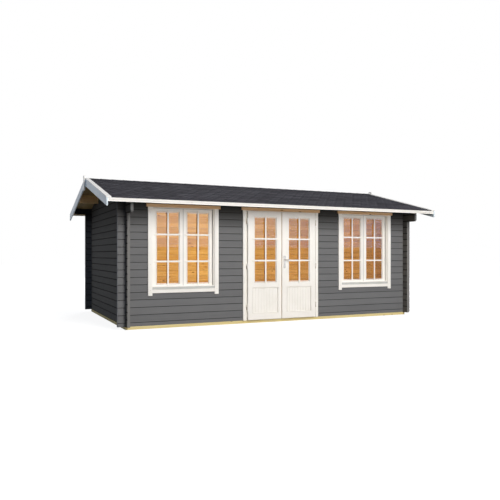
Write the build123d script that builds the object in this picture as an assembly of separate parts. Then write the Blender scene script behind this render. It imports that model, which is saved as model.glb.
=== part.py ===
"""A small log cabin: 44 mm machined logs crossed at the corners, a low gable roof with shingles,
two double windows and an outward-opening double door.

Frame: origin on the ground under the middle of the building, +X to the right along the front wall,
+Y to the rear, +Z up. Millimetres.
"""
from build123d import *
from math import atan, cos
import os

os.makedirs("parts", exist_ok=True)

# ---------------------------------------------------------------- driving dimensions
WALL_LENGTH = 5642.0      # outer faces of the two gable walls
WALL_DEPTH = 3290.0       # outer faces of the front and rear walls
LOG_THICKNESS = 44.0
LOG_HEIGHT = 121.5        # one course
CORNER_STUB = 130.0       # log ends beyond the crossing wall
END_CHAMFER = 25.0        # under the ends of the long top logs
GROOVE_DEPTH = 7.0        # V joint between two courses
GROOVE_HALF = 7.0

BASE_HEIGHT = 50.0        # treated bearers under the walls
BEARER_WIDTH = 70.0
JOIST_COUNT = 7
FLOOR_THICKNESS = 19.0
FLOOR_GAP = 2.0           # round the edge of the floor

ROOF_SLOPE = 0.256        # rise over run, 14.4 degrees
RIDGE_TOP = 2611.0        # top of the shingles at the ridge
ROOF_BOARD = 19.0
SHINGLE_LAYER = 7.0
SHINGLE_REACH = 441.0     # front wall to the lower edge of the shingles
RIDGE_COVER = (150.0, 5.0)
GABLE_OVERHANG = 382.0    # gable wall to the outer face of the bargeboards
BARGE_REACH = 437.0       # front wall to the lower ends of the bargeboards
BARGE_THICKNESS = 20.0
BARGE_HEIGHT = 127.0      # measured plumb
CAPPING_WIDTH = 74.0
CAPPING_THICKNESS = 14.0
APEX_BOARD = (22.0, 100.0, 265.0)
APEX_TOP = 2653.0
EAVE_BOARD = (405.0, 425.0)   # back and front faces, from the wall
EAVE_STRIP = 435.0        # face of the strip on the upper half of the front eave board
EAVE_STRIP_INSET = 28.0   # its ends, inside the bargeboards
EAVE_BOARD_HEIGHTS = (57.0, 20.0)    # front and rear; the rear one only closes the roof board ends

TOP_LOG_OVERHANG = 345.0  # front and rear top logs and purlins, past the gable walls
CORBEL_OVERHANG = 355.0   # top logs of the gable walls, past the front and rear walls
CORBEL_DROP = 10.0        # the lowest of them reaches this far below its course
PURLIN_WIDTH = 58.0
PURLIN_HEIGHT = 145.0
SIDE_PURLIN_Y = 834.0

WINDOW_CENTRE = 1842.0
WINDOW_OPENING = (1110.0, 1380.0)
WINDOW_BOTTOM = 627.0     # above the ground
WINDOW_FRAME_DEPTH = 83.0
WINDOW_MEMBER = 29.0
SILL_RISE = 29.0          # the outer part of the bottom member stands this much higher
SASH_FRONT = 48.0         # behind the log face
SASH_MEMBER = 60.0
SASH_GAP = 4.0
GLASS_THICKNESS = 4.0
CASING_THICKNESS = 20.0
WINDOW_CASING = 1230.0
WINDOW_CASING_BOARD = 70.0
WINDOW_CASING_BOTTOM = 536.0
WINDOW_APRON = (578.0, 633.0)
HEAD_BOARD = (1986.0, 2038.0)
HEAD_BOARD_THICKNESS = 34.0
HEAD_BOARD_PAST = 30.0    # its ends, past the casing

DOOR_CLEARANCE = 5.0
DOOR_FRAME = 720.0        # middle of the doorway to the outer edge of the frame
DOOR_FRAME_MEMBER = 52.0
DOOR_FRAME_DEPTH = 64.0
DOOR_TOP = 2008.0
SILL_HEIGHT = 30.0
DOOR_CASING = (711.0, 766.0)
LEAF_THICKNESS = 44.0
LEAF_EDGE = 684.5         # middle of the doorway to the hinged edge of a leaf
LEAF_BOTTOM = 62.0        # above the ground
LEAF_HEIGHT = 1906.0
MEETING_EDGES = (-10.0, -4.0)
MEETING_BEVEL = 5.0       # planed off the meeting edges towards the room, so that the leaves swing clear
MEETING_REBATE = (41.0, 20.0)
DOOR_GLASS_X = (122.0, 565.0)
DOOR_GLASS_Z = (715.0, 1872.0)
DOOR_PANEL_X = (90.0, 597.0)
DOOR_PANEL_Z = (165.0, 629.0)
PANEL_THICKNESS = 18.0

HINGE_HEIGHTS = (285.0, 1000.0, 1795.0)
HINGE_RADIUS = 7.0
HINGE_KNUCKLE = 49.0
HINGE_SET_OUT = 13.0      # pin beyond the edge of the leaf
HINGE_SET_FORWARD = 4.0   # and in front of its face
HINGE_PLATE = 3.0
HINGE_PLATE_WIDTH = 34.0
HINGE_ARM = 6.0
PIN_RADIUS = 3.2
PIN_BORE = 3.6
PIN_LENGTH = 28.0

LEVER_X = 42.0
LEVER_Z = 1118.0
LEVER_RADIUS = 8.0
LEVER_BORE = 11.0
LEVER_LENGTH = 100.0
LEVER_STANDOFF = 45.0     # leaf face to the middle of the grip
HANDLE_PLATE = (42.0, 8.0, 230.0)
HANDLE_PLATE_BOTTOM = 960.0

# ---------------------------------------------------------------- worked-out dimensions
T = LOG_THICKNESS
HALF_LENGTH = WALL_LENGTH / 2
HALF_DEPTH = WALL_DEPTH / 2
FRONT = -HALF_DEPTH       # front face of the front wall
PLUMB = 1 / cos(atan(ROOF_SLOPE))     # plumb height of a layer one unit thick on the slope
BOARD_TOP = RIDGE_TOP - SHINGLE_LAYER * PLUMB
RIDGE_UNDER = BOARD_TOP - ROOF_BOARD * PLUMB
TOP_LOG_COURSE = 15.5     # the full-length top logs start here on the front and rear walls
OVERHANG_COURSE = 16.5    # and from here they carry the roof past the gable walls
CORBEL_COURSE = 15        # the gable walls carry the eaves from here
TOP_COURSE = 18
LEAF_Y = (FRONT - DOOR_CLEARANCE - LEAF_THICKNESS, FRONT - DOOR_CLEARANCE)
LEAF_Z = (LEAF_BOTTOM, LEAF_BOTTOM + LEAF_HEIGHT)
FAR = 10000.0


def course(n):
    """Height of the bottom of course n of a gable wall; the long walls are half a course out."""
    return BASE_HEIGHT + n * LOG_HEIGHT


def block(x, y, z):
    """A squared timber given by its three spans."""
    size = (x[1] - x[0], y[1] - y[0], z[1] - z[0])
    return Pos(x[0], y[0], z[0]) * Box(*size, align=(Align.MIN, Align.MIN, Align.MIN))


def along_x(outline, x):
    """A straight piece with that outline across it, as (y, z) points, over a span of X."""
    plane = Plane(origin=(x[0], 0, 0), x_dir=(0, 1, 0), z_dir=(1, 0, 0))
    return extrude(plane * make_face(Polyline(*outline, close=True)), x[1] - x[0])


def along_y(outline, y):
    """A straight piece with that outline across it, as (x, z) points, over a span of Y."""
    plane = Plane(origin=(0, y[1], 0), x_dir=(1, 0, 0), z_dir=(0, -1, 0))
    return extrude(plane * make_face(Polyline(*outline, close=True)), y[1] - y[0])


def round_bar(radius, y, x=LEVER_X, z=LEVER_Z):
    """A round bar over a span of Y, by default on the axis of the door lever."""
    return Pos(x, (y[0] + y[1]) / 2, z) * Rot(90, 0, 0) * Cylinder(radius, y[1] - y[0])


def round_post(radius, x, y, z):
    """An upright round bar over a span of Z."""
    return Pos(x, y, (z[0] + z[1]) / 2) * Cylinder(radius, z[1] - z[0])


def framed(x, y, z, member):
    """A rectangular timber frame: its outer block with the middle taken out through Y."""
    inside_x = (x[0] + member, x[1] - member)
    inside_z = (z[0] + member, z[1] - member)
    return block(x, y, z) - block(inside_x, (y[0] - 1, y[1] + 1), inside_z)


def save(name, *pieces):
    """Write one named sub-part, whose pieces do not touch each other."""
    shape = pieces[0] if len(pieces) == 1 else Compound(list(pieces))
    export_step(shape, f"parts/{name}.step")


# ---------------------------------------------------------------- logs
def log_section(face, bottom, top, joints):
    """Outline of a stack of logs that starts at face, with a V joint in both faces at each height."""
    outside = [(face, bottom)]
    for z in joints:
        if bottom + GROOVE_HALF < z < top - GROOVE_HALF:
            outside += [(face, z - GROOVE_HALF), (face + GROOVE_DEPTH, z), (face, z + GROOVE_HALF)]
    outside.append((face, top))
    inside = [(2 * face + T - across, z) for across, z in reversed(outside)]
    return outside + inside


def corner_notches(x, y, lowest, highest, first):
    """What the crossing wall fills in one corner column, from course lowest to course highest.

    Every log keeps the middle half of its height at the crossing. The two walls are half a
    course apart, so these cores stack without a gap.
    """
    cuts = []
    n = first
    while n < highest:
        low, high = max(n, lowest), min(n + 0.5, highest)
        if high > low:
            cuts.append(block(x, y, (course(low), course(high))))
        n += 1
    return cuts


LONG_WALL_JOINTS = [course(n + 0.5) for n in range(TOP_COURSE)]
GABLE_JOINTS = [course(n) for n in range(1, TOP_COURSE + 4)]
CORNER_X = [(-HALF_LENGTH, -HALF_LENGTH + T), (HALF_LENGTH - T, HALF_LENGTH)]
CORNER_Y = [(-HALF_DEPTH, -HALF_DEPTH + T), (HALF_DEPTH - T, HALF_DEPTH)]

far_drop = RIDGE_UNDER - ROOF_SLOPE * FAR
above_roof = along_x([(-FAR, far_drop), (0, RIDGE_UNDER), (FAR, far_drop), (FAR, FAR), (-FAR, FAR)], (-FAR, FAR))

window_height = (WINDOW_BOTTOM, WINDOW_BOTTOM + WINDOW_OPENING[1])
window_spans = [
    (side * WINDOW_CENTRE - WINDOW_OPENING[0] / 2, side * WINDOW_CENTRE + WINDOW_OPENING[0] / 2)
    for side in (-1, 1)
]
through_wall = (FRONT - 1, FRONT + T + 1)
wall_openings = [block(span, through_wall, window_height) for span in window_spans]
wall_openings.append(block((-DOOR_FRAME, DOOR_FRAME), through_wall, (BASE_HEIGHT, DOOR_TOP)))


def long_wall(x, face, bottom, top):
    """Part of the front or rear wall, notched for the gable walls wherever it crosses them."""
    wall = along_x(log_section(face, course(bottom), course(top), LONG_WALL_JOINTS), x)
    for corner_x in CORNER_X:
        for cut in corner_notches(corner_x, (face, face + T), bottom, top, 0.25):
            wall -= cut
    return wall


wall_reach = HALF_LENGTH + CORNER_STUB
save("front_wall_left", long_wall((-wall_reach, -DOOR_FRAME), FRONT, 0, TOP_LOG_COURSE) - wall_openings[0])
save("front_wall_right", long_wall((DOOR_FRAME, wall_reach), FRONT, 0, TOP_LOG_COURSE) - wall_openings[1])
save("rear_wall", long_wall((-wall_reach, wall_reach), HALF_DEPTH - T, 0, TOP_LOG_COURSE))

# The lower of the two top logs ends like those below it; only the upper one runs out under the roof.
log_reach = HALF_LENGTH + TOP_LOG_OVERHANG
overhang_z = course(OVERHANG_COURSE)
right_end = [
    (wall_reach, course(TOP_LOG_COURSE)),
    (wall_reach, overhang_z),
    (log_reach - END_CHAMFER, overhang_z),
    (log_reach, overhang_z + END_CHAMFER),
    (log_reach, course(TOP_COURSE)),
]
top_log_outline = right_end + [(-x, z) for x, z in reversed(right_end)]
for face, word in ((FRONT, "front"), (HALF_DEPTH - T, "rear")):
    top_logs = long_wall((-log_reach, log_reach), face, TOP_LOG_COURSE, TOP_COURSE)
    top_logs &= along_y(top_log_outline, (face - 1, face + T + 1))
    top_logs -= above_roof
    if face == FRONT:
        for opening in wall_openings:
            top_logs -= opening
    save(f"{word}_top_logs", top_logs)

# ---------------------------------------------------------------- purlins
purlins = []
for y, word in ((0, "ridge"), (-SIDE_PURLIN_Y, "front"), (SIDE_PURLIN_Y, "rear")):
    low = RIDGE_UNDER - ROOF_SLOPE * abs(y) - PURLIN_HEIGHT
    across = (y - PURLIN_WIDTH / 2, y + PURLIN_WIDTH / 2)
    beam = block((-log_reach, log_reach), across, (low, low + 2 * PURLIN_HEIGHT)) - above_roof
    purlins.append(beam)
    save(f"{word}_purlin", beam)

# ---------------------------------------------------------------- gable walls
stub_y = HALF_DEPTH + CORNER_STUB
corbel_y = HALF_DEPTH + CORBEL_OVERHANG
corbel_z = course(CORBEL_COURSE) - CORBEL_DROP
rear_half = [
    (stub_y, BASE_HEIGHT),
    (stub_y, corbel_z),
    (corbel_y - END_CHAMFER, corbel_z),
    (corbel_y, corbel_z + END_CHAMFER),
    (corbel_y, RIDGE_UNDER - ROOF_SLOPE * corbel_y),
    (0, RIDGE_UNDER),
]
gable_outline = rear_half + [(-y, z) for y, z in reversed(rear_half[:-1])]
for face, word in ((-HALF_LENGTH, "left"), (HALF_LENGTH - T, "right")):
    gable = along_y(log_section(face, BASE_HEIGHT, RIDGE_UNDER, GABLE_JOINTS), (-corbel_y, corbel_y))
    gable &= along_x(gable_outline, (face - 1, face + T + 1))
    for corner_y in CORNER_Y:
        for cut in corner_notches((face, face + T), corner_y, 0, TOP_COURSE - 0.5, -0.25):
            gable -= cut
    for beam in purlins:
        gable -= beam
    save(f"{word}_gable_wall", gable)

# ---------------------------------------------------------------- base and floor
bearer_z = (0, BASE_HEIGHT)
between_bearers = (-HALF_DEPTH + BEARER_WIDTH, HALF_DEPTH - BEARER_WIDTH)
base = block((-HALF_LENGTH, HALF_LENGTH), (-HALF_DEPTH, HALF_DEPTH), bearer_z)
bay = (WALL_LENGTH - BEARER_WIDTH) / (JOIST_COUNT + 1)
for n in range(JOIST_COUNT + 1):
    left = -HALF_LENGTH + BEARER_WIDTH + n * bay
    base -= block((left, left + bay - BEARER_WIDTH), between_bearers, bearer_z)
save("base_frame", base)

floor_x = HALF_LENGTH - T - FLOOR_GAP
floor_y = HALF_DEPTH - T - FLOOR_GAP
floor_z = (BASE_HEIGHT, BASE_HEIGHT + FLOOR_THICKNESS)
floor = block((-floor_x, floor_x), (-floor_y, floor_y), floor_z)
floor -= block((-DOOR_FRAME - 1, DOOR_FRAME + 1), (FRONT, FRONT + DOOR_FRAME_DEPTH + 1), floor_z)
save("floor_boards", floor)

# ---------------------------------------------------------------- roof
barge_inner_x = HALF_LENGTH + GABLE_OVERHANG - BARGE_THICKNESS
capping_inner_x = HALF_LENGTH + GABLE_OVERHANG - CAPPING_WIDTH


def on_slope(side, top, thickness, reach, x, gap=0.0):
    """A layer on one side of the roof, from gap to reach; top is the height its upper face has at the ridge."""
    rise = thickness * PLUMB
    ends = [(gap, top - ROOF_SLOPE * gap), (reach, top - ROOF_SLOPE * reach)]
    outline = ends + [(y, z - rise) for y, z in reversed(ends)]
    return along_x([(side * y, z) for y, z in outline], x)


for side, word, height in ((-1, "front", EAVE_BOARD_HEIGHTS[0]), (1, "rear", EAVE_BOARD_HEIGHTS[1])):
    boards_reach = HALF_DEPTH + EAVE_BOARD[0]
    save(f"{word}_roof_boards", on_slope(side, BOARD_TOP, ROOF_BOARD, boards_reach, (-barge_inner_x, barge_inner_x)))
    shingles_reach = HALF_DEPTH + SHINGLE_REACH
    shingles_x = (-capping_inner_x, capping_inner_x)
    save(f"{word}_shingles", on_slope(side, RIDGE_TOP, SHINGLE_LAYER, shingles_reach, shingles_x))

    eave_top = BOARD_TOP - ROOF_SLOPE * (HALF_DEPTH + EAVE_STRIP)
    board_y = sorted(side * (HALF_DEPTH + y) for y in EAVE_BOARD)
    eave_board = block((-barge_inner_x, barge_inner_x), board_y, (eave_top - height, eave_top))
    if side < 0:
        strip_y = (-HALF_DEPTH - EAVE_STRIP, -HALF_DEPTH - EAVE_BOARD[1])
        strip_x = barge_inner_x - EAVE_STRIP_INSET
        eave_board += block((-strip_x, strip_x), strip_y, (eave_top - height / 2, eave_top))
    save(f"{word}_eave_board", eave_board)

ridge_gap = 1.0           # half of the joint between the two boards that meet at the ridge
barge_reach = HALF_DEPTH + BARGE_REACH
apex_boards = []
for side, word in ((-1, "left"), (1, "right")):
    outer_x = side * (HALF_LENGTH + GABLE_OVERHANG)
    barge_x = sorted((outer_x, side * barge_inner_x))
    capping_x = sorted((outer_x, side * capping_inner_x))
    boards = [on_slope(run, BOARD_TOP, BARGE_HEIGHT / PLUMB, barge_reach, barge_x, ridge_gap) for run in (-1, 1)]
    capping_top = BOARD_TOP + CAPPING_THICKNESS * PLUMB
    cappings = [on_slope(run, capping_top, CAPPING_THICKNESS, barge_reach, capping_x, ridge_gap) for run in (-1, 1)]
    save(f"{word}_bargeboards", *boards)
    save(f"{word}_capping_boards", *cappings)
    apex_x = sorted((outer_x, outer_x + side * APEX_BOARD[0]))
    apex_boards.append(block(apex_x, (-APEX_BOARD[1] / 2, APEX_BOARD[1] / 2), (APEX_TOP - APEX_BOARD[2], APEX_TOP)))
save("apex_boards", *apex_boards)

cover_reach, cover_rise = RIDGE_COVER
cover_edge = RIDGE_TOP - ROOF_SLOPE * cover_reach
save("ridge_capping", along_x([
    (-cover_reach, cover_edge), (0, RIDGE_TOP), (cover_reach, cover_edge),
    (cover_reach, cover_edge + cover_rise), (0, RIDGE_TOP + cover_rise), (-cover_reach, cover_edge + cover_rise),
], (-capping_inner_x, capping_inner_x)))

# ---------------------------------------------------------------- windows
casing_y = (FRONT - CASING_THICKNESS, FRONT)
casing_top = HEAD_BOARD[0]
head_board_y = (FRONT - HEAD_BOARD_THICKNESS, FRONT)
head_boards = []
for side, word in ((-1, "left"), (1, "right")):
    span = window_spans[(side + 1) // 2]
    centre = side * WINDOW_CENTRE
    inner = (span[0] + WINDOW_MEMBER, span[1] - WINDOW_MEMBER)
    sash_y = (FRONT + SASH_FRONT, FRONT + WINDOW_FRAME_DEPTH)
    sash_z = (window_height[0] + WINDOW_MEMBER, window_height[1] - WINDOW_MEMBER)
    window_frame = framed(span, (FRONT, sash_y[1]), window_height, WINDOW_MEMBER)
    window_frame += block(inner, (FRONT, sash_y[0]), (sash_z[0], sash_z[0] + SILL_RISE))
    save(f"{word}_window_frame", window_frame)

    sashes, panes = [], []
    glass_y = (sash_y[0] + sash_y[1]) / 2
    for low, high in ((inner[0], centre - SASH_GAP / 2), (centre + SASH_GAP / 2, inner[1])):
        sashes.append(framed((low, high), sash_y, sash_z, SASH_MEMBER))
        panes.append(block(
            (low + SASH_MEMBER, high - SASH_MEMBER),
            (glass_y - GLASS_THICKNESS / 2, glass_y + GLASS_THICKNESS / 2),
            (sash_z[0] + SASH_MEMBER, sash_z[1] - SASH_MEMBER),
        ))
    save(f"{word}_window_sashes", *sashes)
    save(f"{word}_window_glass", *panes)

    left, right = centre - WINDOW_CASING / 2, centre + WINDOW_CASING / 2
    casing = block((left, left + WINDOW_CASING_BOARD), casing_y, (WINDOW_CASING_BOTTOM, casing_top))
    casing += block((right - WINDOW_CASING_BOARD, right), casing_y, (WINDOW_CASING_BOTTOM, casing_top))
    casing += block((left, right), casing_y, WINDOW_APRON)
    save(f"{word}_window_casing", casing)
    head_boards.append(block((left - HEAD_BOARD_PAST, right + HEAD_BOARD_PAST), head_board_y, HEAD_BOARD))

# ---------------------------------------------------------------- doorway
doorway_x = DOOR_FRAME - DOOR_FRAME_MEMBER
doorway_z = (BASE_HEIGHT + SILL_HEIGHT, DOOR_TOP - DOOR_FRAME_MEMBER)
frame_y = (FRONT, FRONT + DOOR_FRAME_DEPTH)
door_frame = block((-DOOR_FRAME, DOOR_FRAME), frame_y, (BASE_HEIGHT, DOOR_TOP))
door_frame -= block((-doorway_x, doorway_x), (frame_y[0] - 1, frame_y[1] + 1), doorway_z)
save("door_frame", door_frame)

save("door_casing", *[
    block(sorted(side * x for x in DOOR_CASING), casing_y, (BASE_HEIGHT, casing_top)) for side in (-1, 1)
])
head_half = DOOR_CASING[1] + HEAD_BOARD_PAST
head_boards.append(block((-head_half, head_half), head_board_y, HEAD_BOARD))
save("head_boards", *head_boards)

# ---------------------------------------------------------------- door leaves
through_leaf = (LEAF_Y[0] - 1, LEAF_Y[1] + 1)
leaf_middle = (LEAF_Y[0] + LEAF_Y[1]) / 2
pin_y = LEAF_Y[0] - HINGE_SET_FORWARD
hinge_pins = []
for side, word, meeting in ((-1, "left", MEETING_EDGES[0]), (1, "right", MEETING_EDGES[1])):
    plan = Polyline(
        (meeting, LEAF_Y[0]), (side * LEAF_EDGE, LEAF_Y[0]), (side * LEAF_EDGE, LEAF_Y[1]),
        (meeting + side * MEETING_BEVEL, LEAF_Y[1]), close=True
    )
    leaf = extrude(Plane.XY.offset(LEAF_Z[0]) * make_face(plan), LEAF_HEIGHT, dir=(0, 0, 1))
    glass_x = sorted(side * x for x in DOOR_GLASS_X)
    panel_x = sorted(side * x for x in DOOR_PANEL_X)
    leaf -= block(glass_x, through_leaf, DOOR_GLASS_Z)
    leaf -= block(panel_x, through_leaf, DOOR_PANEL_Z)
    if side < 0:
        rebate_x = (meeting - MEETING_REBATE[0], meeting + 1)
        leaf -= block(rebate_x, (LEAF_Y[0] - 1, LEAF_Y[0] + MEETING_REBATE[1]), (LEAF_Z[0] - 1, LEAF_Z[1] + 1))
    else:
        leaf -= round_bar(LEVER_BORE, through_leaf)
    save(f"{word}_door_frame", leaf)
    glass_y = (leaf_middle - GLASS_THICKNESS / 2, leaf_middle + GLASS_THICKNESS / 2)
    save(f"{word}_door_glass", block(glass_x, glass_y, DOOR_GLASS_Z))
    panel_y = (leaf_middle - PANEL_THICKNESS / 2, leaf_middle + PANEL_THICKNESS / 2)
    save(f"{word}_door_panel", block(panel_x, panel_y, DOOR_PANEL_Z))

    # Lift-off hinges: the upper knuckle is let down over a pin that stands in the lower one.
    pin_x = side * (LEAF_EDGE + HINGE_SET_OUT)
    knuckles = []
    for z in HINGE_HEIGHTS:
        upper = (z + 1, z + HINGE_KNUCKLE)
        lower = (z - HINGE_KNUCKLE, z - 1)
        knuckle = round_post(HINGE_RADIUS, pin_x, pin_y, upper)
        edge_x = side * LEAF_EDGE
        knuckle += block(sorted((edge_x, pin_x)), (pin_y, pin_y + 2 * HINGE_ARM), upper)
        edge_plate_y = (LEAF_Y[0], LEAF_Y[0] + HINGE_PLATE_WIDTH)
        knuckle += block(sorted((edge_x, edge_x + side * HINGE_PLATE)), edge_plate_y, upper)
        knuckle -= round_post(PIN_BORE, pin_x, pin_y, (z, z + PIN_LENGTH + 2))
        knuckles.append(knuckle)

        support = round_post(HINGE_RADIUS, pin_x, pin_y, lower)
        support += round_post(PIN_RADIUS, pin_x, pin_y, (z - 2, z + PIN_LENGTH))
        support += block((pin_x - HINGE_ARM / 2, pin_x + HINGE_ARM / 2), (pin_y, FRONT), lower)
        support += block((pin_x - HINGE_RADIUS, pin_x + HINGE_RADIUS), (FRONT - HINGE_PLATE, FRONT), lower)
        hinge_pins.append(support)
    save(f"{word}_door_hinges", *knuckles)
save("hinge_pins", *hinge_pins)

# ---------------------------------------------------------------- handle
plate_width, plate_thickness, plate_height = HANDLE_PLATE
plate_x = (LEVER_X - plate_width / 2, LEVER_X + plate_width / 2)
plate_z = (HANDLE_PLATE_BOTTOM, HANDLE_PLATE_BOTTOM + plate_height)
plates = []
for plate_y in ((LEAF_Y[0] - plate_thickness, LEAF_Y[0]), (LEAF_Y[1], LEAF_Y[1] + plate_thickness)):
    plates.append(block(plate_x, plate_y, plate_z) - round_bar(LEVER_BORE, (plate_y[0] - 1, plate_y[1] + 1)))
save("handle_plates", *plates)

grips = (LEAF_Y[0] - LEVER_STANDOFF, LEAF_Y[1] + LEVER_STANDOFF)
lever = round_bar(LEVER_RADIUS, grips)
for y in grips:
    lever += block(
        (LEVER_X - LEVER_RADIUS, LEVER_X + LEVER_LENGTH),
        (y - LEVER_RADIUS, y + LEVER_RADIUS),
        (LEVER_Z - LEVER_RADIUS, LEVER_Z + LEVER_RADIUS),
    )
save("door_lever", lever)
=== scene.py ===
import math

import bmesh
import bpy
from mathutils import Matrix, Vector


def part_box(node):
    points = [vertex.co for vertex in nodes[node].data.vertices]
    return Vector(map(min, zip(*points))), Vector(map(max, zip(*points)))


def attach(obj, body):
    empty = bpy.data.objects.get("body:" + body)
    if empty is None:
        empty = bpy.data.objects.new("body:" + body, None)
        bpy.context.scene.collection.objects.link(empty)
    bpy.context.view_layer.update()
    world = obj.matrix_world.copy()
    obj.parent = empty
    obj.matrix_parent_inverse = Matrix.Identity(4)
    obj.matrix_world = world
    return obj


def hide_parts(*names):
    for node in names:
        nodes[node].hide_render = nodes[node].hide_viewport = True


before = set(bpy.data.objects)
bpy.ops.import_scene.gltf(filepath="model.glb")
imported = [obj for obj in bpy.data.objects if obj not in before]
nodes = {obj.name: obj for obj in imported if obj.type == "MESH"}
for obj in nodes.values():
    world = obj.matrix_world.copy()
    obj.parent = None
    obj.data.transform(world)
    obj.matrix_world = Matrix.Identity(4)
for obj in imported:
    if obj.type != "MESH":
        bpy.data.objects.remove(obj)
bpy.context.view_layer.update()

# ------------------------------------------------------------------ camera
# Chest height of a standing adult, off the front left corner and looking level, so that upright edges
# stay upright in the picture.
camera_data = bpy.data.cameras.new("camera")
camera_data.sensor_width = 36.0
camera_data.lens = 40.46
camera_data.shift_y = 0.0092
camera = bpy.data.objects.new("camera", camera_data)
camera.location = (-4.8115, -10.628, 1.2075)
camera.rotation_euler = (math.radians(90.0), 0.0, math.radians(-24.985))
bpy.context.scene.collection.objects.link(camera)
bpy.context.scene.camera = camera
bpy.context.scene.view_settings.view_transform = "Standard"

# ------------------------------------------------------------------ studio floor, sky and lamps
# A pale floor that keeps the cabin's soft shadow under a dim even sky. Large soft lamps stand high and low
# in front, behind and at both sides, and two light the bare timber of the room. A pale blue sky panel
# shows only in reflections, as the sky does in real windows.


def colour(code):
    """An sRGB hex code as linear red, green, blue and alpha."""
    channels = [int(code[i:i + 2], 16) / 255 for i in (1, 3, 5)]
    return [c / 12.92 if c <= 0.04045 else ((c + 0.055) / 1.055) ** 2.4 for c in channels] + [1.0]


def add(tree, kind, links=None, stops=(), **settings):
    """A node of that kind, with settings as attributes and links as {input: value, socket or node}.

    A node stands for its first enabled output. stops are a colour ramp's two (position, hex code) pairs.
    """
    made = tree.nodes.new(kind)
    for name, value in settings.items():
        setattr(made, name, value)
    for i, (position, code) in enumerate(stops):
        made.color_ramp.elements[i].position = position
        made.color_ramp.elements[i].color = colour(code)
    for name, value in (links or {}).items():
        if isinstance(value, bpy.types.Node):
            value = next(output for output in value.outputs if output.enabled)
        if isinstance(value, bpy.types.NodeSocket):
            tree.links.new(value, made.inputs[name])
        else:
            made.inputs[name].default_value = value
    return made


def new_material(name):
    """An empty node material and its tree."""
    material = bpy.data.materials.new(name)
    material.use_nodes = True
    material.node_tree.nodes.clear()
    return material, material.node_tree


def seen_directly(tree):
    """1 for rays from the camera, a mirror or clear glass, 0 for those that carry light."""
    path = add(tree, "ShaderNodeLightPath")
    either = {0: path.outputs["Is Camera Ray"], 1: path.outputs["Is Glossy Ray"]}
    mirrored = add(tree, "ShaderNodeMath", either, operation="MAXIMUM")
    through = {0: mirrored, 1: path.outputs["Is Transmission Ray"]}
    return add(tree, "ShaderNodeMath", through, operation="MAXIMUM")


floor_half = 60.0
floor_z = -0.001
mesh = bpy.data.meshes.new("studio_floor")
corners = [(-1, -1), (1, -1), (1, 1), (-1, 1)]
mesh.from_pydata([(x * floor_half, y * floor_half, floor_z) for x, y in corners], [], [(0, 1, 2, 3)])
studio_floor = bpy.data.objects.new("studio_floor", mesh)
bpy.context.scene.collection.objects.link(studio_floor)
floor_paint, tree = new_material("studio_floor_paint")
paint = add(tree, "ShaderNodeBsdfDiffuse", {"Color": colour("#909090")})
# The floor turns into the white backdrop between 6 and 14 m from the cabin.
place = add(tree, "ShaderNodeTexCoord").outputs["Object"]
far = add(tree, "ShaderNodeVectorMath", {0: place}, operation="LENGTH")
fade = {"Value": far, "From Min": 6.0, "From Max": 14.0, "To Min": 0.9, "To Max": 1.0}
white = add(tree, "ShaderNodeMapRange", fade)
glow = add(tree, "ShaderNodeEmission", {"Color": colour("#FFFFFF"), "Strength": white})
both = add(tree, "ShaderNodeAddShader", {0: paint, 1: glow})
shown = add(tree, "ShaderNodeMixShader", {0: seen_directly(tree), 1: paint, 2: both})
add(tree, "ShaderNodeOutputMaterial", {"Surface": shown})
studio_floor.data.materials.append(floor_paint)

world = bpy.data.worlds.new("sky")
world.use_nodes = True
tree = world.node_tree
tree.nodes.clear()
daylight = add(tree, "ShaderNodeBackground", {"Color": colour("#BCD4FA"), "Strength": 0.16})
backdrop = add(tree, "ShaderNodeBackground", {"Color": colour("#FFFFFF"), "Strength": 1.0})
shown = add(tree, "ShaderNodeMixShader", {0: seen_directly(tree), 1: daylight, 2: backdrop})
add(tree, "ShaderNodeOutputWorld", {"Surface": shown})
bpy.context.scene.world = world


def lamp(name, place, aim, width, height, power, tint):
    """A large soft lamp at a place, turned to face a point."""
    data = bpy.data.lights.new(name, "AREA")
    data.shape = "RECTANGLE"
    data.size = width
    data.size_y = height
    data.energy = power
    data.color = colour(tint)[:3]
    made = bpy.data.objects.new(name, data)
    made.location = place
    made.rotation_euler = (Vector(aim) - Vector(place)).to_track_quat("-Z", "Y").to_euler()
    bpy.context.scene.collection.objects.link(made)
    return made


lamp("key_lamp", (0.4, -15.5, 9.1), (0.0, -1.6, 1.2), 4.8, 11.5, 2170.0, "#FFFCF7")
low_lamp = lamp("low_lamp", (0.2, -15.5, 0.9), (0.2, -1.6, 1.6), 4.8, 1.6, 410.0, "#FFF3E2")
lamp("back_lamp", (5.5, 16.0, 8.0), (0.0, 1.6, 1.2), 7.0, 8.0, 1700.0, "#FDFDFF")
lamp("side_lamp", (16.0, 3.0, 6.0), (2.8, 0.0, 1.2), 6.0, 6.0, 900.0, "#FDFDFF")
lamp("left_lamp", (-16.0, 3.0, 6.0), (-2.8, 0.0, 1.2), 6.0, 6.0, 170.0, "#EEF4FF")
lamp("room_lamp", (-0.3, -0.6, 1.75), (-0.3, 1.6, 1.15), 3.6, 1.0, 42.0, "#FFF8D6")
end_lamp = lamp("end_lamp", (1.3, -0.4, 1.45), (2.75, -0.4, 1.2), 1.6, 1.2, 4.0, "#FFF8D6")
for hidden in (low_lamp, end_lamp):
    hidden.visible_glossy = False
    hidden.visible_transmission = False
sky_panel = lamp("sky_panel", (14.0, -34.0, 16.8), (14.0, 0.0, 16.8), 44.0, 30.0, 13200.0, "#89C0FF")
sky_panel.visible_diffuse = False

# ------------------------------------------------------------------ base frame
# Bearers and joists of 70 by 50 mm softwood, pressure treated with a salt and left sawn. The treatment
# shows as a yellow cast over open grain.


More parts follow.
